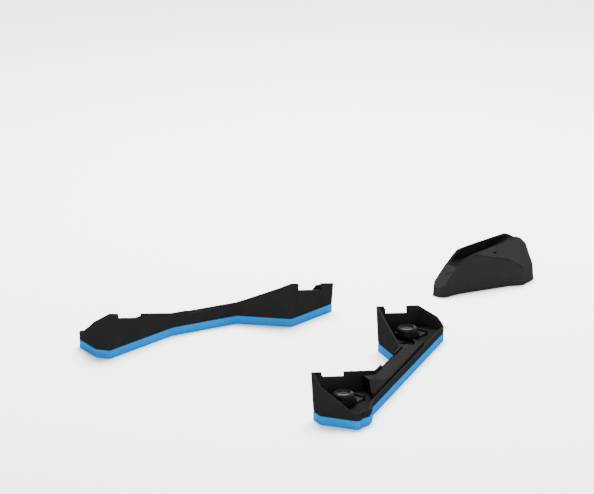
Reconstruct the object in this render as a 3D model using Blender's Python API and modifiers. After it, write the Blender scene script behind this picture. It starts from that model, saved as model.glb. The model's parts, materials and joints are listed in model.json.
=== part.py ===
"""A pair of rocking plates for a bicycle trainer, and the block that holds the bike's front wheel.

X points forward, to the bike's front wheel, Y to the rider's left and Z up. The left plate is modelled in
full and the right plate is its mirror image. The plates lie splayed, wide apart at the rear. Lengths are
in metres, and the whole set stands on Z = 0 with the middle of its footprint at the origin.
"""

import math

import bmesh
import bpy
from mathutils import Matrix, Vector

# Plan of the left plate, before the set is centred
REAR_WALL_Y = 0.274
REAR_WALL_BACK_X = -0.198
REAR_WALL_FRONT_X = -0.005
FRONT_WALL_Y = 0.1178
FRONT_WALL_BACK_X = 0.1995
FRONT_WALL_FRONT_X = 0.3365
BRIDGE_FRONT_X = 0.141
BRIDGE_FRONT_Y = 0.222
POCKET_FACET_X = 0.1845
POCKET_FACET_Y = 0.144
NOSE_X = 0.342
NOSE_Y = 0.183
NOSE_MID_Y = 0.166
WAIST_X = -0.105
WAIST_Y = 0.350
TAIL_X = -0.210
TAIL_Y = 0.303
HEEL_SWELL_X = -0.128
HEEL_SWELL_Y = 0.367
HEEL_RIDGE_X = -0.148
HEEL_RIDGE_Y = 0.377
HEEL_DIP_X = -0.167
HEEL_DIP_Y = 0.3745
HEEL_TIP_X = -0.180
HEEL_TIP_Y = 0.379
HEEL_END_X = -0.187
HEEL_END_Y = 0.372
HEEL_STEP = 0.0085

# Heights of the wall tops above the floor
TAIL_TOP = 0.080
REAR_CORNER_TOP = 0.0995
REAR_WALL_END_TOP = 0.0505
BRIDGE_TOP = 0.044
BRIDGE_FRONT_TOP = 0.0485
FACET_TOP = 0.085
FRONT_CORNER_TOP = 0.0985
FRONT_WALL_END_TOP = 0.0655
NOSE_MID_TOP = 0.050
NOSE_TOP = 0.032
OUTBOARD_TOP = 0.033
HEEL_TOP = 0.034
HEEL_RISE_TOP = 0.036
BRIDGE_STEP_REAR = 0.036
BRIDGE_STEP_FRONT = 0.115
BRIDGE_STEP_RUN = 0.0012

# Walls, floors and layers
FOAM_HEIGHT = 0.0183
FOAM_EDGE = 0.0012
BASE_PLATE_HEIGHT = 0.0022
BASE_PLATE_INSET = 0.0012
TRAY_FLOOR = 0.0044
LIP_WIDTH = 0.0042
LEDGE_WIDTH = 0.0030
LEDGE_DROP = 0.005
SEAT_RUN = 0.016
LIP_EDGE = 0.0009
DRAFT_DEG = 2.5
SEAT_GAP = 0.0003
FIT_GAP = 0.0005

# Leg notches in the two straight walls
REAR_NOTCH_BACK_X = -0.173
REAR_NOTCH_LENGTH = 0.071
REAR_NOTCH_DEPTH = 0.010
FRONT_NOTCH_BACK_X = 0.2195
FRONT_NOTCH_LENGTH = 0.0775
FRONT_NOTCH_DEPTH = 0.0157

# Deck cover over the bridge
DECK_TOP = 0.0455
DECK_OUTER_TOP = 0.0385
DECK_SLOPE_WIDTH = 0.020
DECK_REAR_RISE = 0.0085
DECK_REAR_RADIUS = 0.112
DECK_REAR_CENTRE_X = -0.159
DECK_REAR_REACH = 0.00225194
DECK_BITE_RADIUS = 0.020
DECK_BITE_X = 0.183
DECK_BITE_INSET = 0.03221082
DECK_BITE_FRONT = (1.0, 0.15)
DECK_BITE_TOP = (0.35, 0.937)
DECK_FRONT_X = 0.221
DECK_TIP_RADIUS = 0.003
DECK_SKIN = 0.0025
DECK_EDGE = 0.0008

# Foot cups, carriages, rollers and tracks
TRAVEL = 0.025
TRACK_RADIUS = 0.400
TRACK_THICKNESS = 0.0022
TRACK_WIDTH = 0.034
STOP_THICKNESS = 0.0022
STOP_HEIGHT = 0.0066
BUMPER_THICKNESS = 0.0016
BUMPER_WIDTH = 0.028
BUMPER_HEIGHT = 0.0034
ROLLER_RADIUS = 0.0042
ROLLER_WIDTH = 0.006
ROLLER_OFFSET = 0.012
AXLE_RADIUS = 0.0014
AXLE_SPACING = 0.030
HUB_RADIUS = 0.0024
BORE_CLEARANCE = 0.0001
CARRIAGE_LENGTH = 0.044
CARRIAGE_WIDTH = 0.040
CARRIAGE_PLATE = 0.0024
CHEEK_THICKNESS = 0.0025
CHEEK_DROP = 0.0032
BOSS_RADIUS = 0.009
BOSS_HEIGHT = 0.0025
CUP_RADIUS = 0.022
CUP_HEIGHT = 0.0120
CUP_SHOULDER = 0.0075
DISH_RADIUS = 0.0145
DISH_DEPTH = 0.0048
REAR_CUP_X = -0.145
REAR_CUP_INSET = 0.033
FRONT_CUP_X = 0.244
FRONT_CUP_INSET = 0.0422

# Rocking of a plate on its foam
ROCK_AXIS_Y = 0.255

# Wheel block, in its own frame: u runs along the tyre from the low tail forward, v across it
BLOCK_X = 0.572
BLOCK_Y = 0.006
BLOCK_TURN_DEG = -8.0
BLOCK_FOOT_HEIGHT = 0.0012
BLOCK_DRAFT_DEG = 4.0
BLOCK_BLANK_HEIGHT = 0.110
TAIL_HALF_WIDTH = 0.0192
TAIL_LENGTH = 0.040
CHEST_U = 0.1925
CHEST_HALF_WIDTH = 0.0715
WAIST_HALF_WIDTH = 0.0408
FRONT_U = 0.247
TAIL_SLOPE_U = 0.035
TAIL_SLOPE_Z = 0.063
RIDGE_U = 0.080
RIDGE_Z = 0.0843
PEAK_U = 0.226
PEAK_Z = 0.0933
TAIL_END_U = -0.030
TAIL_TOE_U = -0.006
TAIL_TOE_Z = 0.025
SHOULDER_LINE = ((0.046, 0.0692), (0.057, 0.0750), (0.072, 0.0818))
RIDGE_LINE = ((0.093, 0.0860), (0.125, 0.0886), (0.175, 0.0915), (0.205, 0.0930))
BROW_Z = 0.058
CREASE_REAR = (0.078, 0.032, 0.080)
CREASE_FRONT = (0.190, 0.062, 0.052)
CREASE_PEAK_V = 0.024
CREASE_BROW_V = 0.038
CREASE_BROW_Z = 0.061
WHEEL_RADIUS = 0.340
WHEEL_AXLE_U = 0.094
GROOVE_LOW_Z = 0.0603
TYRE_TIP_RADIUS = 0.014
GROOVE_FLANK_DEPTH = 0.030
GROOVE_FLANK_HALF = 0.0235
GROOVE_MOUTH_DEPTH = 0.060
GROOVE_MOUTH_HALF = 0.034
BLOCK_SKIN = 0.0055
BLOCK_RIB = 0.004
HOLLOW_ROOF = 0.052
PAD_RADIUS = 0.0065
PAD_SOCKET_DEPTH = 0.002
PAD_REAR_U = 0.015
PAD_REAR_V = 0.0095
PAD_FRONT_U = 0.222
PAD_FRONT_V = 0.044
DIMPLE_RADIUS = 0.0032
DIMPLE_DEPTH = 0.003
DIMPLE_U = 0.137
DIMPLE_V = 0.0345
DIMPLE_Z = 0.0792

ARC_STEPS = 4
ROUND_STEPS = 28
CUT_MARGIN = 0.004

SHELL_BASE = FOAM_HEIGHT + BASE_PLATE_HEIGHT + 2 * SEAT_GAP
FLOOR = SHELL_BASE + TRAY_FLOOR
WALL = LIP_WIDTH + LEDGE_WIDTH
TRACK_TOP = FLOOR + SEAT_GAP + TRACK_THICKNESS
SWING_Z = TRACK_TOP + TRACK_RADIUS
AXLE_Z = SWING_Z - math.sqrt((TRACK_RADIUS - SEAT_GAP - ROLLER_RADIUS) ** 2 - (AXLE_SPACING / 2) ** 2)
CARRIAGE_BASE = AXLE_Z + ROLLER_RADIUS + FIT_GAP
CARRIAGE_TOP = CARRIAGE_BASE + CARRIAGE_PLATE
WHEEL_AXLE_Z = GROOVE_LOW_Z + WHEEL_RADIUS
REAR_CUP_Y = REAR_WALL_Y + REAR_CUP_INSET
FRONT_CUP_Y = FRONT_WALL_Y + FRONT_CUP_INSET


class Corner:
    """A corner of the plate's plan, with the levels of the wall's top and ledge there, and its fillet."""

    def __init__(self, x, y, top, radius=0.0, ledge=None):
        self.place = Vector((x, y))
        self.top = top
        self.radius = radius
        self.ledge = top - LEDGE_DROP if ledge is None else ledge


def along(start, end, distance):
    """The point at a distance from start on the way to end."""
    return start + (end - start).normalized() * distance


def rear_wall_top(x):
    """Height of the rear straight wall's sloping top."""
    share = (x - REAR_WALL_BACK_X) / (REAR_WALL_FRONT_X - REAR_WALL_BACK_X)
    return REAR_CORNER_TOP + (REAR_WALL_END_TOP - REAR_CORNER_TOP) * share


def front_wall_top(x):
    """Height of the front straight wall's sloping top."""
    share = (x - FRONT_WALL_BACK_X) / (FRONT_WALL_FRONT_X - FRONT_WALL_BACK_X)
    return FRONT_CORNER_TOP + (FRONT_WALL_END_TOP - FRONT_CORNER_TOP) * share


def plan():
    """The left plate's corners, anticlockwise from the front of the front pocket's straight wall."""
    bridge_rear = Vector((REAR_WALL_FRONT_X, REAR_WALL_Y))
    bridge_front = Vector((BRIDGE_FRONT_X, BRIDGE_FRONT_Y))
    heel_end = Vector((HEEL_END_X, HEEL_END_Y))
    heel_rise = along(heel_end, Vector((TAIL_X, TAIL_Y)), HEEL_STEP)
    seat = BRIDGE_TOP - LEDGE_DROP
    before = along(bridge_rear, Vector((REAR_WALL_BACK_X, REAR_WALL_Y)), SEAT_RUN)
    after = along(bridge_front, Vector((POCKET_FACET_X, POCKET_FACET_Y)), SEAT_RUN)
    before_top = rear_wall_top(before.x)
    after_share = SEAT_RUN / (Vector((POCKET_FACET_X, POCKET_FACET_Y)) - bridge_front).length
    after_top = BRIDGE_FRONT_TOP + (FACET_TOP - BRIDGE_FRONT_TOP) * after_share
    corners = [
        Corner(FRONT_WALL_FRONT_X, FRONT_WALL_Y, FRONT_WALL_END_TOP, 0.003),
        Corner(NOSE_X - 0.0015, NOSE_MID_Y, NOSE_MID_TOP),
        Corner(NOSE_X, NOSE_Y, NOSE_TOP, 0.004),
        Corner(WAIST_X, WAIST_Y, OUTBOARD_TOP, 0.008),
        Corner(HEEL_SWELL_X, HEEL_SWELL_Y, HEEL_TOP, 0.006),
        Corner(HEEL_RIDGE_X, HEEL_RIDGE_Y, HEEL_TOP, 0.006),
        Corner(HEEL_DIP_X, HEEL_DIP_Y, HEEL_TOP, 0.003),
        Corner(HEEL_TIP_X, HEEL_TIP_Y, HEEL_TOP, 0.005),
        Corner(HEEL_END_X, HEEL_END_Y, HEEL_TOP, 0.003),
        Corner(heel_rise.x, heel_rise.y, HEEL_RISE_TOP),
        Corner(TAIL_X, TAIL_Y, TAIL_TOP, 0.004),
        Corner(REAR_WALL_BACK_X, REAR_WALL_Y, REAR_CORNER_TOP, 0.003),
        Corner(before.x, before.y, before_top, ledge=seat),
        Corner(REAR_WALL_FRONT_X, REAR_WALL_Y, REAR_WALL_END_TOP, 0.005, seat),
    ]
    steps = [
        (BRIDGE_STEP_REAR - BRIDGE_STEP_RUN, REAR_WALL_END_TOP),
        (BRIDGE_STEP_REAR, BRIDGE_TOP),
        (BRIDGE_STEP_FRONT, BRIDGE_TOP),
        (BRIDGE_STEP_FRONT + BRIDGE_STEP_RUN, BRIDGE_FRONT_TOP),
    ]
    for distance, top in steps:
        place = along(bridge_rear, bridge_front, distance)
        corners.append(Corner(place.x, place.y, top, ledge=seat))
    corners += [
        Corner(BRIDGE_FRONT_X, BRIDGE_FRONT_Y, BRIDGE_FRONT_TOP, 0.010, seat),
        Corner(after.x, after.y, after_top, ledge=seat),
        Corner(POCKET_FACET_X, POCKET_FACET_Y, FACET_TOP),
        Corner(FRONT_WALL_BACK_X, FRONT_WALL_Y, FRONT_CORNER_TOP, 0.0025),
    ]
    return corners


def mitre(before, here, after):
    """How far a corner moves for each unit that its two sides move inwards, and which way it turns."""
    first = (here - before).normalized()
    second = (after - here).normalized()
    inward = Vector((-first.y, first.x)) + Vector((-second.y, second.x))
    turn = first.cross(second)
    return inward / (1 + first.dot(second)), turn


def ring(corners, inset, level, drafted=True):
    """A closed row of points around the plan, moved inwards by inset, at each corner's own level.

    level gives a corner's height. The walls lean outwards by the draft angle, so a higher ring is wider.
    """
    lean = math.tan(math.radians(DRAFT_DEG)) if drafted else 0.0
    moved = []
    for i, corner in enumerate(corners):
        before = corners[i - 1].place
        after = corners[(i + 1) % len(corners)].place
        step, turn = mitre(before, corner.place, after)
        height = level(corner)
        distance = inset - lean * (height - SHELL_BASE)
        place = corner.place + step * distance
        radius = corner.radius - math.copysign(distance, turn)
        moved.append((Vector((place.x, place.y, height)), corner.radius, max(radius, 0.001)))
    points = []
    for i, (place, wanted, radius) in enumerate(moved):
        if not wanted:
            points.append(place)
            continue
        points += fillet(moved[i - 1][0], place, moved[(i + 1) % len(moved)][0], radius)
    return points


def fillet(before, corner, after, radius, steps=ARC_STEPS):
    """Points on an arc that rounds a corner in plan, with the corner's own height half-way round."""
    back = before - corner
    ahead = after - corner
    back_flat = back.to_2d().normalized()
    ahead_flat = ahead.to_2d().normalized()
    half = back_flat.angle(ahead_flat) / 2
    reach = radius / math.tan(half)
    start = corner + back * (reach / back.to_2d().length)
    end = corner + ahead * (reach / ahead.to_2d().length)
    centre = corner.to_2d() + (back_flat + ahead_flat).normalized() * (radius / math.sin(half))
    from_centre = start.to_2d() - centre
    sweep = from_centre.angle_signed(end.to_2d() - centre)
    points = []
    for k in range(steps + 1):
        share = k / steps
        spoke = from_centre.copy()
        spoke.rotate(Matrix.Rotation(-sweep * share, 2))
        side = start if share < 0.5 else end
        height = corner.z + (side.z - corner.z) * abs(1 - 2 * share)
        points.append(Vector((centre.x + spoke.x, centre.y + spoke.y, height)))
    return points


def material(name, colour, roughness, metallic=0.0):
    """A plain Principled material."""
    made = bpy.data.materials.get(name) or bpy.data.materials.new(name)
    made.use_nodes = True
    shader = made.node_tree.nodes["Principled BSDF"]
    shader.inputs["Base Color"].default_value = (*colour, 1.0)
    shader.inputs["Roughness"].default_value = roughness
    shader.inputs["Metallic"].default_value = metallic
    return made


def azure_foam():
    return material("azure_foam", (0.03, 0.40, 0.83), 0.75)


def black_plastic():
    return material("black_plastic", (0.012, 0.012, 0.013), 0.45)


def grey_plastic():
    return material("grey_plastic", (0.050, 0.050, 0.050), 0.55)


def block_plastic():
    return material("block_plastic", (0.035, 0.035, 0.036), 0.50)


def black_rubber():
    return material("black_rubber", (0.010, 0.010, 0.010), 0.35)


def track_steel():
    return material("track_steel", (0.30, 0.30, 0.31), 0.35, 1.0)


def roller_nylon():
    return material("roller_nylon", (0.55, 0.55, 0.52), 0.40)


def collection(name):
    made = bpy.data.collections.new(name)
    bpy.context.scene.collection.children.link(made)
    return made


def add_object(name, mesh, group, finish=None, place=(0, 0, 0)):
    obj = bpy.data.objects.new(name, mesh)
    group.objects.link(obj)
    obj.location = place
    if finish:
        mesh.materials.append(finish)
    return obj


def smooth(mesh, angle_deg=35):
    """Shades a mesh smoothly up to an angle between its faces."""
    mesh.shade_smooth()
    mesh.set_sharp_from_angle(angle=math.radians(angle_deg))


def mesh_from(name, bm):
    bmesh.ops.recalc_face_normals(bm, faces=bm.faces)
    mesh = bpy.data.meshes.new(name)
    bm.to_mesh(mesh)
    bm.free()
    return mesh


def loft(name, rings):
    """A closed mesh through rings of equally many points, capped at both ends."""
    bm = bmesh.new()
    rows = [[bm.verts.new(point) for point in points] for points in rings]
    for lower, upper in zip(rows, rows[1:]):
        for i in range(len(lower)):
            j = (i + 1) % len(lower)
            bm.faces.new((lower[i], lower[j], upper[j], upper[i]))
    bm.faces.new(rows[0])
    bm.faces.new(rows[-1])
    return mesh_from(name, bm)


def prism(name, outline, bottom, top):
    """An outline in plan, as (x, y) pairs, raised from bottom to top."""
    rings = [[Vector((x, y, z)) for x, y in outline] for z in (bottom, top)]
    return loft(name, rings)


def box_mesh(name, low, high):
    bm = bmesh.new()
    bmesh.ops.create_cube(bm, size=1.0)
    low = Vector(low)
    high = Vector(high)
    for vert in bm.verts:
        vert.co = Vector((vert.co[i] + 0.5) * (high[i] - low[i]) + low[i] for i in range(3))
    return mesh_from(name, bm)


def cylinder_mesh(name, radius, length, axis, segments=ROUND_STEPS):
    """A round bar about its own origin, along axis."""
    bm = bmesh.new()
    bmesh.ops.create_cone(bm, cap_ends=True, segments=segments, radius1=radius, radius2=radius, depth=length)
    turn = Vector((0, 0, 1)).rotation_difference(Vector(axis)).to_matrix()
    bmesh.ops.rotate(bm, verts=bm.verts, cent=(0, 0, 0), matrix=turn)
    return mesh_from(name, bm)


def turned(name, profile, group, finish, place, steps=ROUND_STEPS):
    """A solid of revolution about its own Z, from (radius, height) points that run from top to bottom."""
    mesh = bpy.data.meshes.new(name)
    mesh.from_pydata([(radius, 0, height) for radius, height in profile],
                     [(i, i + 1) for i in range(len(profile) - 1)], [])
    obj = add_object(name, mesh, group, finish, place)
    screw = obj.modifiers.new("turn", "SCREW")
    screw.axis = "Z"
    screw.angle = math.tau
    screw.steps = steps
    screw.render_steps = steps
    screw.use_merge_vertices = True
    screw.merge_threshold = 0.00001
    screw.use_smooth_shade = True
    return obj


def realise(obj):
    """Turns an object's modifiers into its mesh, welded and facing outwards."""
    bpy.context.view_layer.update()
    evaluated = obj.evaluated_get(bpy.context.evaluated_depsgraph_get())
    mesh = bpy.data.meshes.new_from_object(evaluated)
    bm = bmesh.new()
    bm.from_mesh(mesh)
    bmesh.ops.remove_doubles(bm, verts=bm.verts, dist=0.000005)
    bmesh.ops.recalc_face_normals(bm, faces=bm.faces)
    bm.to_mesh(mesh)
    bm.free()
    obj.modifiers.clear()
    obj.data = mesh
    smooth(mesh)
    return obj


def cut(target, mesh, cutters, operation="DIFFERENCE"):
    """Cuts a mesh out of target, or keeps only what both share."""
    cutter = add_object(f"{target.name}_cutter_{len(target.modifiers)}", mesh, cutters, place=target.location)
    cutter.hide_render = True
    cutter.display_type = "WIRE"
    boolean = target.modifiers.new(cutter.name, "BOOLEAN")
    boolean.operation = operation
    boolean.solver = "EXACT"
    boolean.object = cutter
    return cutter


def hang(child, parent):
    """Parents child to an empty and leaves it where it is."""
    child.parent = parent
    child.matrix_parent_inverse = Matrix.Translation(parent.location).inverted()


def empty(name, group, place):
    made = bpy.data.objects.new(name, None)
    group.objects.link(made)
    made.location = place
    made.empty_display_size = 0.02
    return made


def foam_base(group):
    """The elastomer slab under a plate, with softened edges."""
    corners = plan()
    rings = [ring(corners, inset, lambda corner, z=z: z, drafted=False)
             for inset, z in ((FOAM_EDGE, 0.0), (0.0, FOAM_EDGE), (0.0, FOAM_HEIGHT - FOAM_EDGE / 2),
                              (FOAM_EDGE / 2, FOAM_HEIGHT))]
    mesh = loft("left_foam_base", rings)
    smooth(mesh, 25)
    return add_object("left_foam_base", mesh, group, azure_foam())


def base_plate(group):
    """The thin plate that closes the tray from below."""
    corners = plan()
    bottom = FOAM_HEIGHT + SEAT_GAP
    rings = [ring(corners, BASE_PLATE_INSET, lambda corner, z=z: z, drafted=False)
             for z in (bottom, bottom + BASE_PLATE_HEIGHT)]
    return add_object("left_base_plate", loft("left_base_plate", rings), group, black_plastic())


def notch_mesh(name, wall_y, start_x, length, depth, top_at):
    """A cutter for a leg notch, whose floor runs parallel to the wall's sloping top."""
    low = (start_x, wall_y - CUT_MARGIN * 2, 0.0)
    high = (start_x + length, wall_y + WALL + CUT_MARGIN, 1.0)
    mesh = box_mesh(name, low, high)
    for vert in mesh.vertices:
        if vert.co.z < 0.5:
            vert.co.z = top_at(vert.co.x) - depth
        else:
            vert.co.z = top_at(start_x) + CUT_MARGIN
    return mesh


def shell(group, cutters):
    """The moulded tray: high pocket walls, a low bridge, a lip with a ledge inside it, and two notches."""
    corners = plan()
    rings = [
        ring(corners, 0.0, lambda corner: SHELL_BASE),
        ring(corners, 0.0, lambda corner: corner.top - LIP_EDGE),
        ring(corners, LIP_EDGE, lambda corner: corner.top),
        ring(corners, LIP_WIDTH, lambda corner: corner.top),
        ring(corners, LIP_WIDTH, lambda corner: corner.ledge),
        ring(corners, WALL, lambda corner: corner.ledge),
        ring(corners, WALL, lambda corner: FLOOR),
    ]
    tray = add_object("left_shell", loft("left_shell", rings), group, black_plastic())

    cut(tray, notch_mesh("rear_notch", REAR_WALL_Y, REAR_NOTCH_BACK_X, REAR_NOTCH_LENGTH, REAR_NOTCH_DEPTH,
                         rear_wall_top), cutters)
    cut(tray, notch_mesh("front_notch", FRONT_WALL_Y, FRONT_NOTCH_BACK_X, FRONT_NOTCH_LENGTH,
                         FRONT_NOTCH_DEPTH, front_wall_top), cutters)
    return realise(tray)


def offset_line(start, end, inset):
    """A side of the plan moved inwards, as a point and a direction."""
    direction = (end - start).normalized()
    return start + Vector((-direction.y, direction.x)) * inset, direction


def meet(first, second):
    """Where two lines, each a point and a direction, cross."""
    (p, d), (q, e) = first, second
    return p + d * ((q - p).cross(e) / d.cross(e))


def line_and_circle(line, centre, radius, ahead):
    """Where a line crosses a circle, ahead of the circle's middle or behind it."""
    point, direction = line
    nearest = point + direction * (centre - point).dot(direction)
    half = math.sqrt(radius ** 2 - (nearest - centre).length_squared)
    return nearest + direction * (half if ahead else -half)


def arc(start, end, centre, steps):
    """Points from start to end the short way round centre, without start."""
    spoke = start - centre
    sweep = spoke.angle_signed(end - centre)
    points = []
    for k in range(1, steps + 1):
        turned_spoke = spoke.copy()
        turned_spoke.rotate(Matrix.Rotation(-sweep * k / steps, 2))
        points.append(centre + turned_spoke)
    return points


def deck_lines():
    """The lines that bound the deck cover along the outer side and three walls, and its fold line."""
    nose = Vector((NOSE_X, NOSE_Y))
    waist = Vector((WAIST_X, WAIST_Y))
    wall_back = Vector((REAR_WALL_BACK_X, REAR_WALL_Y))
    wall_front = Vector((REAR_WALL_FRONT_X, REAR_WALL_Y))
    bridge_front = Vector((BRIDGE_FRONT_X, BRIDGE_FRONT_Y))
    facet = Vector((POCKET_FACET_X, POCKET_FACET_Y))
    return {
        "outer": offset_line(nose, waist, LIP_WIDTH + FIT_GAP),
        "fold": offset_line(nose, waist, LIP_WIDTH + FIT_GAP + DECK_SLOPE_WIDTH),
        "rear_wall": offset_line(wall_back, wall_front, WALL + FIT_GAP),
        "bridge": offset_line(wall_front, bridge_front, LIP_WIDTH + FIT_GAP),
        "pocket_wall": offset_line(bridge_front, facet, WALL + FIT_GAP),
    }


def beside(line, x, inset):
    """The point at x that lies a distance to the inner side of a line."""
    point, direction = line
    inwards = Vector((-direction.y, direction.x))
    return Vector((x, point.y + (inset - (x - point.x) * inwards.x) / inwards.y))


def deck_outline():
    """The deck cover's plan as (point, foot) pairs, and its rear tip.

    It follows the walls, has an arched rear edge and a round bite in its front edge. foot is the level
    that the edge reaches down to: the tray's outer ledge on free edges, the bridge's ledge by the bridge.
    """
    lines = deck_lines()
    low = OUTBOARD_TOP - LEDGE_DROP + SEAT_GAP
    high = BRIDGE_TOP - LEDGE_DROP + SEAT_GAP
    rear_centre = beside(lines["outer"], DECK_REAR_CENTRE_X, DECK_REAR_RADIUS - DECK_REAR_REACH)
    bite_centre = beside(lines["outer"], DECK_BITE_X, DECK_BITE_INSET)
    sharp_end = line_and_circle(lines["outer"], rear_centre, DECK_REAR_RADIUS, False)
    rear_fold = line_and_circle(lines["fold"], rear_centre, DECK_REAR_RADIUS, False)
    tip = line_and_circle(lines["rear_wall"], rear_centre, DECK_REAR_RADIUS, True)
    bite_start = line_and_circle(lines["pocket_wall"], bite_centre, DECK_BITE_RADIUS, False)
    bite_fold = line_and_circle(lines["fold"], bite_centre, DECK_BITE_RADIUS, True)
    bite_end = bite_centre + Vector(DECK_BITE_FRONT).normalized() * DECK_BITE_RADIUS
    bite_top = bite_centre + Vector(DECK_BITE_TOP).normalized() * DECK_BITE_RADIUS
    front_outer = meet(lines["outer"], (Vector((DECK_FRONT_X, 0.0)), Vector((0.0, 1.0))))
    points = [(p.to_2d(), low) for p in fillet(front_outer.to_3d(), sharp_end.to_3d(), rear_fold.to_3d(),
                                               DECK_TIP_RADIUS, 3)]
    points.append((rear_fold, low))
    points += [(p, low) for p in arc(rear_fold, tip, rear_centre, 6)]
    points.append((meet(lines["rear_wall"], lines["bridge"]), high))
    points.append((meet(lines["bridge"], lines["pocket_wall"]), high))
    points.append((bite_start, low))
    points += [(p, low) for p in arc(bite_start, bite_fold, bite_centre, 3)]
    points += [(p, low) for p in arc(bite_fold, bite_top, bite_centre, 3)]
    points += [(p, low) for p in arc(bite_top, bite_end, bite_centre, 4)]
    points.append((front_outer, low))
    return points, tip


def inset_outline(points, inset):
    """An anticlockwise or clockwise outline moved towards its inside."""
    area = sum(points[i - 1].cross(points[i]) for i in range(len(points)))
    side = math.copysign(1.0, area)
    moved = []
    for i, point in enumerate(points):
        step, _ = mitre(points[i - 1], point, points[(i + 1) % len(points)])
        moved.append(point + step * inset * side)
    return moved


def deck_cover(group):
    """The cover over the bridge: a skirted skin that slopes down outwards and rises to its rear tip."""
    pairs, tip = deck_outline()
    edge = [point for point, _ in pairs]
    feet = [foot_level for _, foot_level in pairs]
    lines = deck_lines()
    origin, direction = lines["outer"]
    inward = Vector((-direction.y, direction.x))
    bend = meet(lines["rear_wall"], lines["bridge"])
    rise = DECK_REAR_RISE / (tip - bend).dot(direction)

    def top(point):
        crown = DECK_TOP + min(rise * max((point - bend).dot(direction), 0.0), DECK_REAR_RISE)
        reach = (point - origin).dot(inward) / DECK_SLOPE_WIDTH
        return DECK_OUTER_TOP + (crown - DECK_OUTER_TOP) * min(max(reach, 0.0), 1.0)

    inner = inset_outline(edge, DECK_SKIN)
    softened = inset_outline(edge, DECK_EDGE)
    drops = {1.0: DECK_SKIN, 2.0: DECK_EDGE, 3.0: 0.0}
    rings = [
        [Vector((p.x, p.y, 1.0)) for p in inner],
        [Vector((p.x, p.y, z)) for p, z in zip(inner, feet)],
        [Vector((p.x, p.y, z)) for p, z in zip(edge, feet)],
        [Vector((p.x, p.y, 2.0)) for p in edge],
        [Vector((p.x, p.y, 3.0)) for p in softened],
    ]
    mesh = loft("left_deck_cover", rings)
    bm = bmesh.new()
    bm.from_mesh(mesh)
    fold = origin + inward * DECK_SLOPE_WIDTH
    for place, normal in ((fold, inward), (bend, direction)):
        bmesh.ops.bisect_plane(bm, geom=bm.verts[:] + bm.edges[:] + bm.faces[:],
                               plane_co=place.to_3d(), plane_no=normal.to_3d())
    for vert in bm.verts:
        if vert.co.z > 0.5:
            vert.co.z = top(vert.co.to_2d()) - drops[round(vert.co.z, 2)]
    bmesh.ops.triangulate(bm, faces=bm.faces)
    bmesh.ops.recalc_face_normals(bm, faces=bm.faces)
    bm.to_mesh(mesh)
    bm.free()
    cover = add_object("left_deck_cover", mesh, group, grey_plastic())
    smooth(mesh, 25)
    return cover


def track_rise(x):
    """Height of the curved track above its lowest point."""
    return TRACK_RADIUS - math.sqrt(TRACK_RADIUS ** 2 - x ** 2)


def track(name, place, group):
    """A curved running plate with upturned ends, about the swing axis of its carriage."""
    runway = TRAVEL + AXLE_SPACING / 2 + ROLLER_RADIUS + FIT_GAP + BUMPER_THICKNESS + SEAT_GAP
    end = runway + STOP_THICKNESS
    base = FLOOR + SEAT_GAP - SWING_Z
    steps = 8
    top = [(-runway + 2 * runway * k / steps) for k in range(steps + 1)]
    outline = [(-end, base), (-end, base + TRACK_THICKNESS + STOP_HEIGHT),
               (-runway, base + TRACK_THICKNESS + STOP_HEIGHT)]
    outline += [(x, base + TRACK_THICKNESS + track_rise(x)) for x in top]
    outline += [(runway, base + TRACK_THICKNESS + STOP_HEIGHT), (end, base + TRACK_THICKNESS + STOP_HEIGHT),
                (end, base)]
    half = TRACK_WIDTH / 2
    rings = [[Vector((x, y, z)) for x, z in outline] for y in (-half, half)]
    mesh = loft(name, rings)
    return add_object(name, mesh, group, track_steel(), (place[0], place[1], SWING_Z))


def bumper(name, place, side, group):
    """An elastomer strip on the inner face of a track's end stop."""
    runway = TRAVEL + AXLE_SPACING / 2 + ROLLER_RADIUS + FIT_GAP + BUMPER_THICKNESS
    inner = side * (runway - BUMPER_THICKNESS)
    outer = side * runway
    bottom = TRACK_TOP + track_rise(runway) + SEAT_GAP
    low = (min(inner, outer), -BUMPER_WIDTH / 2, bottom - SWING_Z)
    high = (max(inner, outer), BUMPER_WIDTH / 2, bottom - SWING_Z + BUMPER_HEIGHT)
    mesh = box_mesh(name, low, high)
    return add_object(name, mesh, group, black_rubber(), (place[0], place[1], SWING_Z))


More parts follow.
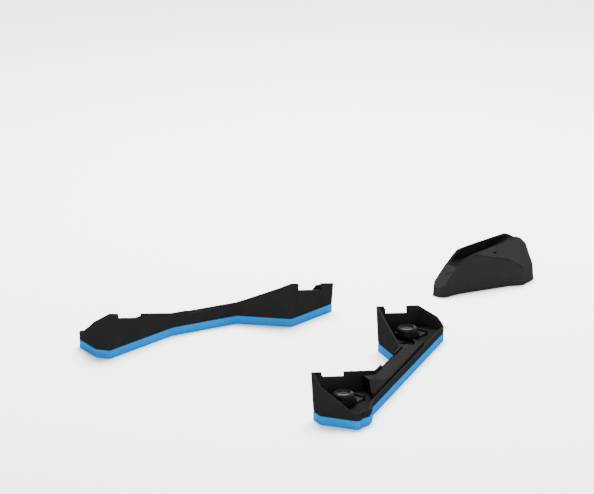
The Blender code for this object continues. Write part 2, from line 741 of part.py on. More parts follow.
def carriage(name, place, group, cutters):
    """A skate: a plate over two cheeks that carry the axles, with a boss for the cup."""
    half_length = CARRIAGE_LENGTH / 2
    half_width = CARRIAGE_WIDTH / 2
    radius = 0.007
    plate_corners = [Vector((sx * half_length, sy * half_width, 0.0))
                     for sx, sy in ((1, -1), (1, 1), (-1, 1), (-1, -1))]
    outline = []
    for i, corner in enumerate(plate_corners):
        after = plate_corners[(i + 1) % 4]
        outline += [(p.x, p.y) for p in fillet(plate_corners[i - 1], corner, after, radius, 3)]
    low = CARRIAGE_BASE - SWING_Z
    high = CARRIAGE_TOP - SWING_Z
    body = add_object(name, prism(name, outline, low, high), group, black_plastic(),
                      (place[0], place[1], SWING_Z))
    cheek_low = AXLE_Z - CHEEK_DROP - SWING_Z
    cheek_reach = AXLE_SPACING / 2 + CHEEK_DROP
    for side in (-1, 1):
        outer = side * half_width
        inner = side * (half_width - CHEEK_THICKNESS)
        profile = [(-cheek_reach + CHEEK_DROP / 2, cheek_low), (cheek_reach - CHEEK_DROP / 2, cheek_low),
                   (cheek_reach, AXLE_Z - SWING_Z), (half_length - radius, low + CARRIAGE_PLATE / 2),
                   (-half_length + radius, low + CARRIAGE_PLATE / 2), (-cheek_reach, AXLE_Z - SWING_Z)]
        rings = [[Vector((x, y, z)) for x, z in profile] for y in (inner, outer)]
        cut(body, loft(f"{name}_cheek", rings), cutters, "UNION")
    boss = cylinder_mesh(f"{name}_boss", BOSS_RADIUS, BOSS_HEIGHT + CARRIAGE_PLATE / 2, (0, 0, 1))
    boss.transform(Matrix.Translation((0, 0, high + BOSS_HEIGHT / 2 - CARRIAGE_PLATE / 4)))
    cut(body, boss, cutters, "UNION")
    for side in (-1, 1):
        bore = cylinder_mesh(f"{name}_bore", AXLE_RADIUS + BORE_CLEARANCE, CARRIAGE_WIDTH * 1.2, (0, 1, 0), 12)
        bore.transform(Matrix.Translation((side * AXLE_SPACING / 2, 0, AXLE_Z - SWING_Z)))
        cut(body, bore, cutters)
    return realise(body)


def cup(name, place, group):
    """A domed rubber cup with a round shoulder, a dish for the trainer's foot and a socket for the boss."""
    base = CARRIAGE_TOP + SEAT_GAP - SWING_Z
    top = base + CUP_HEIGHT
    dish = top - DISH_DEPTH
    rim = CUP_RADIUS - CUP_SHOULDER
    profile = [(0.0, dish), (DISH_RADIUS - 0.003, dish), (DISH_RADIUS - 0.0005, dish + 0.0025),
               (DISH_RADIUS, top - 0.001)]
    profile.append((DISH_RADIUS + 0.001, top))
    for k in range(1, 6):
        angle = math.radians(90 - 15 * k - 5)
        profile.append((rim + CUP_SHOULDER * math.cos(angle), top - CUP_SHOULDER * (1 - math.sin(angle))))
    profile += [(CUP_RADIUS, base + 0.001), (CUP_RADIUS - 0.001, base), (BOSS_RADIUS + FIT_GAP, base)]
    profile += [(BOSS_RADIUS + FIT_GAP, base + BOSS_HEIGHT + SEAT_GAP), (0.0, base + BOSS_HEIGHT + SEAT_GAP)]
    made = turned(name, profile, group, black_rubber(), (place[0], place[1], SWING_Z))
    return realise(made)


def roller_axle(name, place, group):
    """One axle with its two rollers, turned about the axle's own line."""
    half = CARRIAGE_WIDTH / 2 - SEAT_GAP
    inner = ROLLER_OFFSET - ROLLER_WIDTH / 2
    outer = ROLLER_OFFSET + ROLLER_WIDTH / 2
    edge = 0.0006
    profile = [(0.0, half), (AXLE_RADIUS, half), (AXLE_RADIUS, outer), (ROLLER_RADIUS - edge, outer),
               (ROLLER_RADIUS, outer - edge), (ROLLER_RADIUS, inner + edge), (ROLLER_RADIUS - edge, inner),
               (HUB_RADIUS, inner)]
    profile += [(radius, -height) for radius, height in reversed(profile)]
    made = turned(name, profile, group, roller_nylon(), (place[0], place[1], AXLE_Z), 14)
    realise(made)
    made.data.transform(Matrix.Rotation(math.radians(-90), 4, "X"))
    return made


def foot(end, place, plate, group, cutters):
    """A track with its bumpers, and the carriage, cup and roller axles that run on it."""
    swing = empty(f"left_{end}_swing", group, (place[0], place[1], SWING_Z))
    hang(swing, plate)
    fixed = [track(f"left_{end}_track", place, group)]
    for label, side in (("fore", 1), ("aft", -1)):
        fixed.append(bumper(f"left_{end}_{label}_bumper", place, side, group))
        axle = roller_axle(f"left_{end}_{label}_roller_axle",
                           (place[0] + side * AXLE_SPACING / 2, place[1]), group)
        hang(axle, swing)
    for piece in fixed:
        hang(piece, plate)
    hang(carriage(f"left_{end}_carriage", place, group, cutters), swing)
    hang(cup(f"left_{end}_foot_cup", place, group), swing)


def mirror_plate(group, left_plate, right_plate):
    """Makes the right plate's pieces and empties as the mirror image of the left plate's."""
    twins = {left_plate: right_plate}
    sources = [obj for obj in group.objects if obj.name.startswith("left_") and obj is not left_plate]
    sources.sort(key=lambda obj: obj.type != "EMPTY")
    for obj in sources:
        name = obj.name.replace("left_", "right_", 1)
        if obj.type == "EMPTY":
            twin = empty(name, group, obj.location)
        else:
            mesh = obj.data.copy()
            mesh.transform(Matrix.Scale(-1, 4, (0, 1, 0)))
            mesh.flip_normals()
            mesh.name = name
            twin = add_object(name, mesh, group)
            twin.location = obj.location
        twin.location.y = -twin.location.y
        if obj.parent in twins:
            hang(twin, twins[obj.parent])
        twins[obj] = twin


def block_corners():
    """The wheel block's plan in its own frame: a narrow tail that flares to a broad chest and front."""
    half = [(FRONT_U, 0.030, 0.010), (FRONT_U - 0.008, CHEST_HALF_WIDTH - 0.013, 0.005),
            (CHEST_U, CHEST_HALF_WIDTH, 0.010), (CHEST_U - 0.0145, CHEST_HALF_WIDTH - 0.0045, 0.010),
            (CHEST_U - 0.0265, CHEST_HALF_WIDTH - 0.0143, 0.012), (0.106, WAIST_HALF_WIDTH, 0.080),
            (TAIL_LENGTH, TAIL_HALF_WIDTH + 0.003, 0.080), (0.000, TAIL_HALF_WIDTH, 0.008),
            (-0.0105, TAIL_HALF_WIDTH - 0.0082, 0.004)]
    left = [Corner(u, v, 0.0, radius) for u, v, radius in half]
    right = [Corner(u, -v, 0.0, radius) for u, v, radius in reversed(half)]
    return left + right


def block_side():
    """The wheel block's side view, as (u, z): a sloping tail, level ridges and a leaning front."""
    slope = (TAIL_SLOPE_Z - TAIL_TOE_Z) / (TAIL_SLOPE_U - TAIL_TOE_U)
    return [(TAIL_END_U, BLOCK_FOOT_HEIGHT), (TAIL_END_U, TAIL_SLOPE_Z + slope * (TAIL_END_U - TAIL_SLOPE_U)),
            (TAIL_SLOPE_U, TAIL_SLOPE_Z), *SHOULDER_LINE, (RIDGE_U, RIDGE_Z), *RIDGE_LINE,
            (PEAK_U, PEAK_Z), (PEAK_U + 0.003, PEAK_Z - 0.001), (PEAK_U + 0.015, PEAK_Z - 0.013),
            (FRONT_U, BROW_Z), (FRONT_U + 0.001, BLOCK_FOOT_HEIGHT)]


def through(first, second, third, side):
    """The plane through three points, as a point and a normal that faces away from the centre plane."""
    normal = (second - first).cross(third - first).normalized()
    if normal.y * side < 0:
        normal = -normal
    return first, normal


def shoulder_planes(side):
    """The two planes that lean a shoulder inwards: along the ridge, and round the front corner."""
    crease_rear = Vector((CREASE_REAR[0], side * CREASE_REAR[1], CREASE_REAR[2]))
    crease_front = Vector((CREASE_FRONT[0], side * CREASE_FRONT[1], CREASE_FRONT[2]))
    peak = Vector((PEAK_U, side * CREASE_PEAK_V, PEAK_Z))
    brow = Vector((FRONT_U - 0.004, side * CREASE_BROW_V, CREASE_BROW_Z))
    return [through(crease_rear, crease_front, peak, side), through(peak, crease_front, brow, side)]


def wheel_cutter(name):
    """The wheel itself, as a solid ring whose tyre and flanks press the groove into the block."""
    profile = [(WHEEL_RADIUS - GROOVE_MOUTH_DEPTH, GROOVE_MOUTH_HALF),
               (WHEEL_RADIUS - GROOVE_FLANK_DEPTH, GROOVE_FLANK_HALF)]
    steps = 6
    for k in range(steps + 1):
        angle = math.pi * k / steps
        profile.append((WHEEL_RADIUS - TYRE_TIP_RADIUS + TYRE_TIP_RADIUS * math.sin(angle),
                        TYRE_TIP_RADIUS * math.cos(angle)))
    profile += [(WHEEL_RADIUS - GROOVE_FLANK_DEPTH, -GROOVE_FLANK_HALF),
                (WHEEL_RADIUS - GROOVE_MOUTH_DEPTH, -GROOVE_MOUTH_HALF)]
    turns = 120
    bm = bmesh.new()
    rows = []
    for k in range(turns):
        angle = math.tau * k / turns
        rows.append([bm.verts.new((WHEEL_AXLE_U + radius * math.sin(angle), v,
                                   WHEEL_AXLE_Z - radius * math.cos(angle))) for radius, v in profile])
    for k in range(turns):
        row = rows[k]
        following = rows[(k + 1) % turns]
        for i in range(len(profile)):
            j = (i + 1) % len(profile)
            bm.faces.new((row[i], row[j], following[j], following[i]))
    return mesh_from(name, bm)


def pad_places():
    return [(PAD_REAR_U, PAD_REAR_V), (PAD_REAR_U, -PAD_REAR_V),
            (PAD_FRONT_U, PAD_FRONT_V), (PAD_FRONT_U, -PAD_FRONT_V)]


def bisect(obj, planes):
    """Slices a closed mesh by planes and closes each cut."""
    bm = bmesh.new()
    bm.from_mesh(obj.data)
    for place, normal in planes:
        result = bmesh.ops.bisect_plane(bm, geom=bm.verts[:] + bm.edges[:] + bm.faces[:], plane_co=place,
                                        plane_no=normal, clear_outer=True)
        rim = [item for item in result["geom_cut"] if isinstance(item, bmesh.types.BMEdge)]
        bmesh.ops.holes_fill(bm, edges=rim)
    bmesh.ops.recalc_face_normals(bm, faces=bm.faces)
    bm.to_mesh(obj.data)
    bm.free()


def wheel_block(group, cutters):
    """The block's moulded body: shoulders, tyre groove, ribbed underside, and sockets for its feet."""
    name = "block_body"
    lean = (BLOCK_BLANK_HEIGHT - BLOCK_FOOT_HEIGHT) * math.tan(math.radians(BLOCK_DRAFT_DEG))
    corners = block_corners()
    blank = [ring(corners, inset, lambda corner, z=z: z, drafted=False)
             for inset, z in ((0.0, BLOCK_FOOT_HEIGHT), (lean, BLOCK_BLANK_HEIGHT))]
    body = add_object(name, loft(name, blank), group, block_plastic())
    side_rings = [[Vector((u, v, z)) for u, z in block_side()] for v in (-0.100, 0.100)]
    cut(body, loft("block_profile", side_rings), cutters, "INTERSECT")
    realise(body)
    bisect(body, shoulder_planes(-1) + shoulder_planes(1))
    cut(body, wheel_cutter("tyre_groove"), cutters)
    for side in (-1, 1):
        normal = shoulder_planes(side)[0][1]
        dimple = cylinder_mesh("dimple", DIMPLE_RADIUS, DIMPLE_DEPTH * 2, normal, 12)
        dimple.transform(Matrix.Translation((DIMPLE_U, side * DIMPLE_V, DIMPLE_Z)))
        cut(body, dimple, cutters)
    skin = BLOCK_SKIN + HOLLOW_ROOF * math.tan(math.radians(BLOCK_DRAFT_DEG))
    flare = (CHEST_HALF_WIDTH - 0.0143 - TAIL_HALF_WIDTH) / (CHEST_U - 0.0265 - TAIL_LENGTH)
    length = 0.040
    for k in range(4):
        start = TAIL_LENGTH + 0.006 + k * (length + BLOCK_RIB)
        reach = TAIL_HALF_WIDTH + flare * (start - TAIL_LENGTH) * 0.9 - skin
        for side in (-1, 1):
            inner = side * BLOCK_RIB / 2
            outer = side * reach
            pocket = box_mesh("hollow", (start, min(inner, outer), -CUT_MARGIN),
                              (start + length, max(inner, outer), HOLLOW_ROOF))
            cut(body, pocket, cutters)
    for u, v in pad_places():
        socket = cylinder_mesh("pad_socket", PAD_RADIUS + SEAT_GAP, PAD_SOCKET_DEPTH * 2, (0, 0, 1), 20)
        socket.transform(Matrix.Translation((u, v, BLOCK_FOOT_HEIGHT)))
        cut(body, socket, cutters)
    realise(body)
    return body


def block_feet(group):
    """The rubber feet let into the block's underside."""
    feet = []
    depth = BLOCK_FOOT_HEIGHT + PAD_SOCKET_DEPTH - SEAT_GAP
    for label, (u, v) in zip(("rear_left", "rear_right", "front_left", "front_right"), pad_places()):
        mesh = cylinder_mesh(f"block_foot_{label}", PAD_RADIUS, depth, (0, 0, 1), 20)
        mesh.transform(Matrix.Translation((u, v, depth / 2)))
        feet.append(add_object(f"block_foot_{label}", mesh, group, black_rubber()))
    return feet


def stand_block(pieces, holder):
    """Turns the block to where it stands ahead of the plates."""
    place = Matrix.Translation((BLOCK_X, BLOCK_Y, 0)) @ Matrix.Rotation(math.radians(BLOCK_TURN_DEG), 4, "Z")
    for piece in pieces:
        piece.data.transform(place)
        hang(piece, holder)


def footprint(group):
    """The middle of the set's footprint, from the finished meshes."""
    bpy.context.view_layer.update()
    depsgraph = bpy.context.evaluated_depsgraph_get()
    xs = []
    ys = []
    for obj in group.objects:
        if obj.type != "MESH":
            continue
        evaluated = obj.evaluated_get(depsgraph)
        for vert in evaluated.data.vertices:
            place = obj.matrix_world @ vert.co
            xs.append(place.x)
            ys.append(place.y)
    return (min(xs) + max(xs)) / 2, (min(ys) + max(ys)) / 2


def main():
    for obj in list(bpy.data.objects):
        bpy.data.objects.remove(obj, do_unlink=True)
    group = collection("trainer_rocker_set")
    cutters = collection("cutters")
    whole = empty("trainer_rocker_set_origin", group, (0, 0, 0))
    rock_z = FOAM_HEIGHT + SEAT_GAP
    left_plate = empty("left_plate_rock", group, (0, ROCK_AXIS_Y, rock_z))
    right_plate = empty("right_plate_rock", group, (0, -ROCK_AXIS_Y, rock_z))
    hang(left_plate, whole)
    hang(right_plate, whole)
    hang(foam_base(group), whole)
    for piece in (base_plate(group), shell(group, cutters), deck_cover(group)):
        hang(piece, left_plate)
    foot("rear", (REAR_CUP_X, REAR_CUP_Y), left_plate, group, cutters)
    foot("front", (FRONT_CUP_X, FRONT_CUP_Y), left_plate, group, cutters)
    mirror_plate(group, left_plate, right_plate)
    hang(bpy.data.objects["right_foam_base"], whole)
    stand_block([wheel_block(group, cutters)] + block_feet(group), whole)
    middle_x, middle_y = footprint(group)
    whole.location = (-middle_x, -middle_y, 0)
    bpy.context.view_layer.update()


main()
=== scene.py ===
import json
import math

import bmesh
import bpy
from mathutils import Matrix, Vector


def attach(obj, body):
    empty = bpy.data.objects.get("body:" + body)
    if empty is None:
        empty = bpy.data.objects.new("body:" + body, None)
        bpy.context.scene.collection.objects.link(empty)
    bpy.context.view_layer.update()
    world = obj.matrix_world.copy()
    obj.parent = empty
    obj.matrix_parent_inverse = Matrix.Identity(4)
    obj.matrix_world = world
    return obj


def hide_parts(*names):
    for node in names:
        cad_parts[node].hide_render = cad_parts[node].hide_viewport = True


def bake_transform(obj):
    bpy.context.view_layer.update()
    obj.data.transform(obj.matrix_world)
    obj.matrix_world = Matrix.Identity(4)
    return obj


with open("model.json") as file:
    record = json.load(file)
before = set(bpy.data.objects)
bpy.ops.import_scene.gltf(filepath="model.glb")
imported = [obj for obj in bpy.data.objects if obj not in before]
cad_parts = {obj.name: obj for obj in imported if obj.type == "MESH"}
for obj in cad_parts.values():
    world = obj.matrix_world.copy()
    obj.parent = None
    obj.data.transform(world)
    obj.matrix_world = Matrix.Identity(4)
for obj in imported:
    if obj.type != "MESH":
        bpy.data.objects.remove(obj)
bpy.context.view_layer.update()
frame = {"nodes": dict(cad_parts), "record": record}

# Camera, in metres and degrees, for a frame of 594 x 494 pixels
CAMERA_PLACE = (-4.6647, -3.7516, 2.0654)
CAMERA_YAW_DEG = 40.204
CAMERA_DOWN_DEG = 17.498
CAMERA_REACH = 60.0
FOCAL_PX = 2958.8
FRAME_WIDTH_PX = 594
SENSOR_MM = 36.0

# Studio light: an even surround, and three lamps by place, diameter and power
SURROUND = 1.2
KEY_PLACE = (1.0, 0.8, 3.3)
KEY_SIZE = 2.6
KEY_POWER = 720.0
FILL_PLACE = (-3.4, -2.6, 0.9)
FILL_SIZE = 1.6
FILL_POWER = 120.0
RIM_PLACE = (4.2, 1.9, 0.75)
RIM_SIZE = 1.6
RIM_POWER = 20.0
FLOOR_HALF_WIDTH = 30.0

# Cleaning of the CAD's meshes: corners within WELD become one, and so do faces within FLAT_DEG
WELD = 0.00001
FLAT_DEG = 0.6

# Rounded edges: their widths in metres, the steps across them, and the angles above which an edge is rounded
SHELL_EDGE = 0.0007
DECK_EDGE = 0.0006
EDGE_STEPS = 3
ROUND_ABOVE_DEG = 28
FOAM_EDGE = 0.0008
FOAM_STEPS = 2
FOAM_ROUND_ABOVE_DEG = 40
BLOCK_EDGE = 0.0007
BLOCK_ROUND_ABOVE_DEG = 20

# Shading: how strongly large faces lead it, and the angles above which an edge stays crisp
LARGE_FACE_LEAD = 80
NONE_CRISP_DEG = 180
BLOCK_CRISP_DEG = 22

# A face is level where its normal's z is above this
LEVEL = 0.8

# Heights in metres: the tray's level faces below the first are pocket floors, which get painted shade
POCKET_FLOOR_TOP = 0.0270

# The wheel block's own frame: u runs along the tyre from the low tail forward, v across it
BLOCK_PLACE = (0.267962, 0.006)
BLOCK_TURN_DEG = -8.0

# The wheel that presses the tyre groove in, with its axle's u and z, and the ramp that leads into the
# groove; faces in both get painted shade
WHEEL_AXLE = (0.094, 0.4003)
WHEEL_RADIUS = 0.340
GROOVE_HALF_WIDTH = 0.034
GROOVE_MARGIN = 0.0006
RAMP_END_U = 0.048
RAMP_FROM_Z = 0.062

# Fine lines cut into both sides of the block, as points in its own frame and the radius of the cut
CREASE = ((0.080, 0.027, 0.084), (0.107, 0.036, 0.077), (0.165, 0.052, 0.061), (0.180, 0.064, 0.050),
          (0.193, 0.068, 0.041))
CREASE_RADIUS = 0.0015
CHEVRON = ((0.0160, 0.000, 0.0450), (0.0260, 0.0160, 0.0543))
CHEVRON_RADIUS = 0.0014
DIMPLE = ((0.1328, 0.0344, 0.0793), (0.1412, 0.0346, 0.0791))
DIMPLE_RADIUS = 0.0019
ENGRAVER_SIDES = 8

# Sockets of a Mix node that mixes two colours
MIX_SHARE = 0
MIX_DARK = 6
MIX_LIGHT = 7
MIX_RESULT = 2

# Most of a noise texture lies between these values
NOISE_LOW = 0.3
NOISE_HIGH = 0.7

# How far a moulding's roughness strays from its mean
UNEVEN_GLOSS = 0.06

SIDES = ("left", "right")


def grey(value):
    """A neutral colour."""
    return (value, value, value)


def nodes_of(material):
    """A material's shader nodes, and the links between them."""
    return material.node_tree.nodes, material.node_tree.links


def new_material(name, colour, roughness, gloss):
    """A Principled material and its shader node."""
    made = bpy.data.materials.new(name)
    made.use_nodes = True
    shader = made.node_tree.nodes["Principled BSDF"]
    shader.inputs["Base Color"].default_value = (*colour, 1.0)
    shader.inputs["Roughness"].default_value = roughness
    shader.inputs["Specular IOR Level"].default_value = gloss
    made.diffuse_color = (*colour, 1.0)
    return made, shader


def object_space(material, stretch=(1, 1, 1)):
    """Coordinates in metres, each multiplied by its stretch."""
    nodes, links = nodes_of(material)
    place = nodes.new("ShaderNodeTexCoord")
    mapping = nodes.new("ShaderNodeMapping")
    mapping.inputs["Scale"].default_value = stretch
    links.new(place.outputs["Object"], mapping.inputs["Vector"])
    return mapping.outputs["Vector"]


def noise(material, vector, scale, detail=3.0, rough=0.5):
    """Smooth noise with about scale features to the metre."""
    nodes, links = nodes_of(material)
    made = nodes.new("ShaderNodeTexNoise")
    made.inputs["Scale"].default_value = scale
    made.inputs["Detail"].default_value = detail
    made.inputs["Roughness"].default_value = rough
    links.new(vector, made.inputs["Vector"])
    return made.outputs["Fac"]


def cells(material, vector, scale):
    """Rounded cells, about scale of them to the metre."""
    nodes, links = nodes_of(material)
    made = nodes.new("ShaderNodeTexVoronoi")
    made.inputs["Scale"].default_value = scale
    links.new(vector, made.inputs["Vector"])
    return made.outputs["Distance"]


def tint(material, shader, value, dark, light):
    """Colours the surface from dark to light by value."""
    nodes, links = nodes_of(material)
    made = nodes.new("ShaderNodeMix")
    made.data_type = "RGBA"
    made.inputs[MIX_DARK].default_value = (*dark, 1.0)
    made.inputs[MIX_LIGHT].default_value = (*light, 1.0)
    links.new(value, made.inputs[MIX_SHARE])
    links.new(made.outputs[MIX_RESULT], shader.inputs["Base Color"])


def roughen(material, shader, value, low, high):
    """Spreads the surface's roughness from low to high by value."""
    nodes, links = nodes_of(material)
    made = nodes.new("ShaderNodeMapRange")
    made.inputs["From Min"].default_value = NOISE_LOW
    made.inputs["From Max"].default_value = NOISE_HIGH
    made.inputs["To Min"].default_value = low
    made.inputs["To Max"].default_value = high
    links.new(value, made.inputs["Value"])
    links.new(made.outputs["Result"], shader.inputs["Roughness"])


def bump(material, shader, value, distance, strength, under=None):
    """Raises the surface by value; under is an earlier bump's normal."""
    nodes, links = nodes_of(material)
    made = nodes.new("ShaderNodeBump")
    made.inputs["Distance"].default_value = distance
    made.inputs["Strength"].default_value = strength
    links.new(value, made.inputs["Height"])
    if under is not None:
        links.new(under, made.inputs["Normal"])
    links.new(made.outputs["Normal"], shader.inputs["Normal"])
    return made.outputs["Normal"]


def moulded(name, dark, light, roughness, gloss, grain=0.00005, grain_scale=1600.0):
    """Moulded plastic: a spark-eroded grain, faint flow mottling and slightly uneven gloss."""
    made, shader = new_material(name, light, roughness, gloss)
    vector = object_space(made)
    tint(made, shader, noise(made, vector, scale=22.0, detail=4.0, rough=0.6), dark, light)
    patches = noise(made, vector, scale=60.0, detail=5.0, rough=0.6)
    roughen(made, shader, patches, roughness - UNEVEN_GLOSS, roughness + UNEVEN_GLOSS)
    flow = bump(made, shader, noise(made, vector, scale=14.0, detail=2.0), distance=0.0006, strength=0.25)
    grains = noise(made, vector, grain_scale, detail=2.0, rough=0.7)
    bump(made, shader, grains, distance=grain, strength=0.8, under=flow)
    return made


def coarse_and_shaded(name):
    """The coarse dull finish of a moulding's hollows, with painted shade: a darker colour than the
    moulding's walls.
    """
    return moulded(name, grey(0.0014), grey(0.0022), roughness=0.70, gloss=0.02,
                   grain=0.00015, grain_scale=700.0)


def foam(name, dark, light):
    """Closed-cell foam: fine cells, faint mottling and a dry surface."""
    made, shader = new_material(name, light, roughness=0.85, gloss=0.0)
    vector = object_space(made)
    tint(made, shader, noise(made, vector, scale=90.0, detail=6.0, rough=0.65), dark, light)
    soft = bump(made, shader, noise(made, vector, scale=45.0), distance=0.0005, strength=0.4)
    bump(made, shader, cells(made, vector, scale=900.0), distance=0.00025, strength=0.7, under=soft)
    return made


def rubber(name, dark, light):
    """Moulded elastomer: smooth and slightly uneven in its gloss."""
    made, shader = new_material(name, light, roughness=0.30, gloss=0.05)
    vector = object_space(made)
    tint(made, shader, noise(made, vector, scale=120.0, detail=4.0), dark, light)
    roughen(made, shader, noise(made, vector, scale=150.0, detail=4.0), low=0.25, high=0.38)
    bump(made, shader, noise(made, vector, scale=900.0, detail=2.0), distance=0.00003, strength=0.5)
    return made


def steel(name, dark, light):
    """Blackened steel strip: fine rolling marks along the track."""
    made, shader = new_material(name, light, roughness=0.42, gloss=0.03)
    vector = object_space(made, stretch=(0.03, 1.0, 1.0))
    scratches = noise(made, vector, scale=2600.0, detail=4.0, rough=0.7)
    tint(made, shader, scratches, dark, light)
    roughen(made, shader, scratches, low=0.34, high=0.52)
    bump(made, shader, scratches, distance=0.00002, strength=0.5)
    return made


def nylon(name, dark, light):
    """Turned nylon: nearly black, with faint turning marks."""
    made, shader = new_material(name, light, roughness=0.38, gloss=0.05)
    marks = noise(made, object_space(made, stretch=(1.0, 8.0, 1.0)), scale=420.0)
    tint(made, shader, marks, dark, light)
    bump(made, shader, marks, distance=0.00004, strength=0.6)
    return made


LOOKS = {
    "azure_foam": foam("foam_cells", (0.0, 0.105, 0.31), (0.0, 0.128, 0.38)),
    "black_plastic": moulded("shell_plastic", grey(0.0062), grey(0.0092), roughness=0.50, gloss=0.004),
    "grey_plastic": moulded("deck_plastic", grey(0.0026), grey(0.0036), roughness=0.60, gloss=0.02,
                            grain=0.00008, grain_scale=1100.0),
    "block_plastic": moulded("wheel_block_plastic", grey(0.0094), grey(0.0124), roughness=0.48, gloss=0.015),
    "black_rubber": rubber("moulded_rubber", grey(0.004), grey(0.008)),
    "track_steel": steel("rolled_steel", grey(0.002), (0.005, 0.005, 0.0052)),
    "roller_nylon": nylon("turned_nylon", grey(0.003), grey(0.007)),
}
SLOT_OF = {part["node"]: part["material_slot"] for part in frame["record"]["subparts"]}

# Finishes of a piece's hollows, coarse and dull, with painted shade in their darker colour, and their place
# in the piece's list
POCKET_FLOOR_SHADED = coarse_and_shaded("pocket_floor_painted_shade")
GROOVE_SHADED = coarse_and_shaded("tyre_groove_painted_shade")
SHADED_FINISH = 1


def dress(name):
    """Gives a CAD node its finish."""
    node = frame["nodes"][name]
    if not node.material_slots:
        node.data.materials.append(None)
    for place in node.material_slots:
        place.material = LOOKS[SLOT_OF[name]]


def mesh_from(bm, name):
    """Turns a bmesh into a mesh, and frees it."""
    mesh = bpy.data.meshes.new(name)
    bm.to_mesh(mesh)
    bm.free()
    return mesh


def link(name, data):
    """Puts a mesh, a camera or a lamp into the scene."""
    made = bpy.data.objects.new(name, data)
    bpy.context.scene.collection.objects.link(made)
    return made


def settle(piece):
    """Turns a piece's modifiers into its mesh."""
    depsgraph = bpy.context.evaluated_depsgraph_get()
    mesh = bpy.data.meshes.new_from_object(piece.evaluated_get(depsgraph))
    piece.modifiers.clear()
    piece.data = mesh


def clean_copy(node, name):
    """A welded copy of a CAD node's mesh, with its flat faces whole again."""
    bm = bmesh.new()
    bm.from_mesh(frame["nodes"][node].data)
    bmesh.ops.remove_doubles(bm, verts=bm.verts, dist=WELD)
    bmesh.ops.dissolve_limit(bm, angle_limit=math.radians(FLAT_DEG), verts=bm.verts, edges=bm.edges)
    piece = link(name, mesh_from(bm, name))
    piece.data.materials.append(LOOKS[SLOT_OF[node]])
    return piece


def round_edges(piece, width, steps, above_deg):
    """Rounds a piece's edges that turn by more than above_deg."""
    edges = piece.modifiers.new("edges", "BEVEL")
    edges.width = width
    edges.segments = steps
    edges.limit_method = "ANGLE"
    edges.angle_limit = math.radians(above_deg)
    settle(piece)


def shade(piece, crisp_deg=NONE_CRISP_DEG):
    """Shades a piece smoothly, led by its large faces, with edges over crisp_deg kept crisp."""
    piece.data.shade_smooth()
    piece.data.set_sharp_from_angle(angle=math.radians(crisp_deg))
    shading = piece.modifiers.new("shading", "WEIGHTED_NORMAL")
    shading.keep_sharp = True
    shading.weight = LARGE_FACE_LEAD
    settle(piece)


def stand_in(node, name, width, steps=EDGE_STEPS, above_deg=ROUND_ABOVE_DEG):
    """A finer piece in place of a CAD node, with rounded edges and smooth shading."""
    piece = clean_copy(node, name)
    round_edges(piece, width, steps, above_deg)
    shade(piece)
    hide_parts(node)
    return piece


def foam_pad(side):
    """The foam base between the floor and the plate, which gives in the real thing; this piece does not
    bend.
    """
    piece = stand_in(f"{side}_foam_base", f"{side}_foam_pad", FOAM_EDGE, FOAM_STEPS, FOAM_ROUND_ABOVE_DEG)
    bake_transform(piece)


def tray(side):
    """The plate's shell. Its pocket floors have a coarser, duller texture than its walls, and painted shade:
    a darker colour.
    """
    piece = stand_in(f"{side}_shell", f"{side}_tray", SHELL_EDGE)
    piece.data.materials.append(POCKET_FLOOR_SHADED)
    # Painted shade: level faces low in the pockets take the darker hollow colour
    for face in piece.data.polygons:
        if face.normal.z > LEVEL and face.center.z < POCKET_FLOOR_TOP:
            face.material_index = SHADED_FINISH
    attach(piece, f"{side}_plate")


def deck(side):
    """The cover over the plate's bridge."""
    piece = stand_in(f"{side}_deck_cover", f"{side}_deck", DECK_EDGE)
    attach(piece, f"{side}_plate")


def block_frame():
    """The wheel block's own frame, as a matrix."""
    turn = Matrix.Rotation(math.radians(BLOCK_TURN_DEG), 4, "Z")
    return Matrix.Translation((*BLOCK_PLACE, 0.0)) @ turn


def engrave(piece, start, end, radius):
    """Cuts a fine round-bottomed line into a piece."""
    axis = end - start
    place = Matrix.Translation((start + end) / 2) @ axis.to_track_quat("Z", "Y").to_matrix().to_4x4()
    bm = bmesh.new()
    bmesh.ops.create_cone(bm, cap_ends=True, segments=ENGRAVER_SIDES, radius1=radius, radius2=radius,
                          depth=axis.length, matrix=place)
    cutter = link("engraver", mesh_from(bm, "engraver"))
    cut = piece.modifiers.new("engraved", "BOOLEAN")
    cut.operation = "DIFFERENCE"
    cut.solver = "EXACT"
    cut.object = cutter
    settle(piece)
    bpy.data.objects.remove(cutter)


def in_groove(point):
    """Whether a point in the block's frame lies in the space of the wheel that presses the groove in."""
    reach = math.hypot(point.x - WHEEL_AXLE[0], point.z - WHEEL_AXLE[1])
    return reach < WHEEL_RADIUS + GROOVE_MARGIN and abs(point.y) < GROOVE_HALF_WIDTH


def dull_and_shade_groove(piece, to_block):
    """Gives the tyre groove, and the short ramp that leads into it, a coarse dull finish with painted shade:
    a darker colour than the rest of the block.
    """
    piece.data.materials.append(GROOVE_SHADED)
    bm = bmesh.new()
    bm.from_mesh(piece.data)
    for face in bm.faces:
        middle = to_block @ face.calc_center_median()
        ramp = face.normal.z > LEVEL and middle.x < RAMP_END_U and middle.z > RAMP_FROM_Z
        if ramp or all(in_groove(to_block @ vertex.co) for vertex in face.verts):
            face.material_index = SHADED_FINISH
    bm.to_mesh(piece.data)
    bm.free()


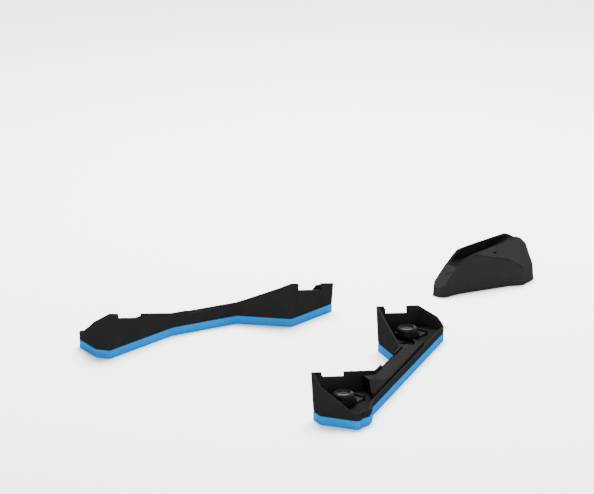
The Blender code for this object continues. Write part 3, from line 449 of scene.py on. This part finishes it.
def wheel_block():
    """The wheel block: crisp ridges, an engraved crease, chevron and oblong dimple, and a dull groove with
    painted shade.
    """
    from_block = block_frame()
    piece = clean_copy("block_body", "wheel_block")
    round_edges(piece, BLOCK_EDGE, EDGE_STEPS, BLOCK_ROUND_ABOVE_DEG)
    for side in (-1, 1):
        for line, radius in ((CREASE, CREASE_RADIUS), (CHEVRON, CHEVRON_RADIUS), (DIMPLE, DIMPLE_RADIUS)):
            points = [from_block @ Vector((u, side * v, z)) for u, v, z in line]
            for start, end in zip(points, points[1:]):
                engrave(piece, start, end, radius)
    dull_and_shade_groove(piece, from_block.inverted())
    shade(piece, BLOCK_CRISP_DEG)
    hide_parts("block_body")
    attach(piece, "ground_parts")


def aim(made, place, direction):
    """Puts a camera or a lamp in its place and turns it to a direction."""
    made.location = place
    made.rotation_euler = direction.to_track_quat("-Z", "Y").to_euler()


def camera():
    """The camera at the photograph's viewing angle."""
    data = bpy.data.cameras.new("camera")
    data.lens = FOCAL_PX / FRAME_WIDTH_PX * SENSOR_MM
    data.sensor_width = SENSOR_MM
    data.clip_end = CAMERA_REACH
    made = link("camera", data)
    yaw = math.radians(CAMERA_YAW_DEG)
    down = math.radians(CAMERA_DOWN_DEG)
    forward = Vector((math.cos(down) * math.cos(yaw), math.cos(down) * math.sin(yaw), -math.sin(down)))
    aim(made, CAMERA_PLACE, forward)
    bpy.context.scene.camera = made


def lamp(name, place, size, power):
    """A soft round lamp that shines on the middle of the set, which is the origin."""
    data = bpy.data.lights.new(name, "AREA")
    data.shape = "DISK"
    data.size = size
    data.energy = power
    aim(link(name, data), place, -Vector(place))


def studio():
    """A pale floor, an even pale surround and three soft lamps."""
    bm = bmesh.new()
    bmesh.ops.create_grid(bm, x_segments=1, y_segments=1, size=FLOOR_HALF_WIDTH)
    floor = link("floor", mesh_from(bm, "floor"))
    finish, _ = new_material("floor_paint", grey(0.90), roughness=0.9, gloss=0.5)
    floor.data.materials.append(finish)
    floor.visible_glossy = False
    world = bpy.data.worlds.new("surround")
    bpy.context.scene.world = world
    world.use_nodes = True
    backdrop = world.node_tree.nodes["Background"]
    backdrop.inputs["Color"].default_value = (1.0, 1.0, 1.0, 1.0)
    backdrop.inputs["Strength"].default_value = SURROUND
    lamp("key", KEY_PLACE, KEY_SIZE, KEY_POWER)
    lamp("fill", FILL_PLACE, FILL_SIZE, FILL_POWER)
    lamp("rim", RIM_PLACE, RIM_SIZE, RIM_POWER)


camera()
studio()
for node in frame["nodes"]:
    dress(node)
for side in SIDES:
    foam_pad(side)
    tray(side)
    deck(side)
wheel_block()
